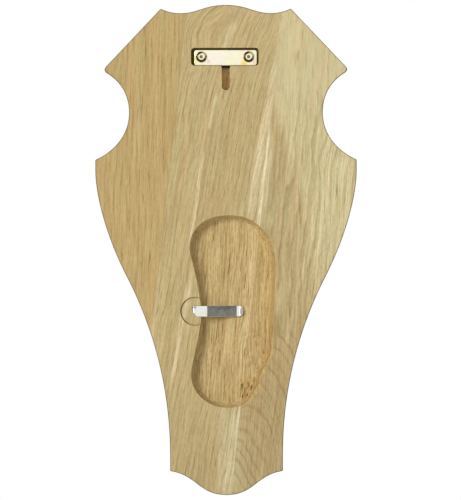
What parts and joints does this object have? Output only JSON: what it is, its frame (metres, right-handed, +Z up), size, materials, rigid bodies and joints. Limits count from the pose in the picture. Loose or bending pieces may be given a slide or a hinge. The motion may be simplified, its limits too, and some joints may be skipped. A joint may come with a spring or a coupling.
{
  "type": "antler mounting plaque",
  "caption": "Shaped oak trophy shield for small antlers, with a recessed hanger plate, a nail slot, a jaw pocket and its spring clip at the back.",
  "frame": {"origin": "where the wall's nail bears: in the plane of the board's back, on its centre line, at the hanger plate's lower edge", "axes": "+Z up as it hangs, +Y out of the back towards the wall, -Y out of the front"},
  "size_m": [0.16, 0.018, 0.3],
  "materials": {
    "oak": "sanded, unvarnished solid oak",
    "plate_zinc": "yellow passivated zinc",
    "screw_zinc": "yellow passivated zinc",
    "spring_steel": "bright rolled spring steel"
  },
  "bodies": {
    "root": {"shield_board": "oak", "hanger_plate": "plate_zinc", "hanger_screw_left": "screw_zinc", "hanger_screw_right": "screw_zinc", "jaw_clip": "spring_steel"}
  },
  "joints": []
}
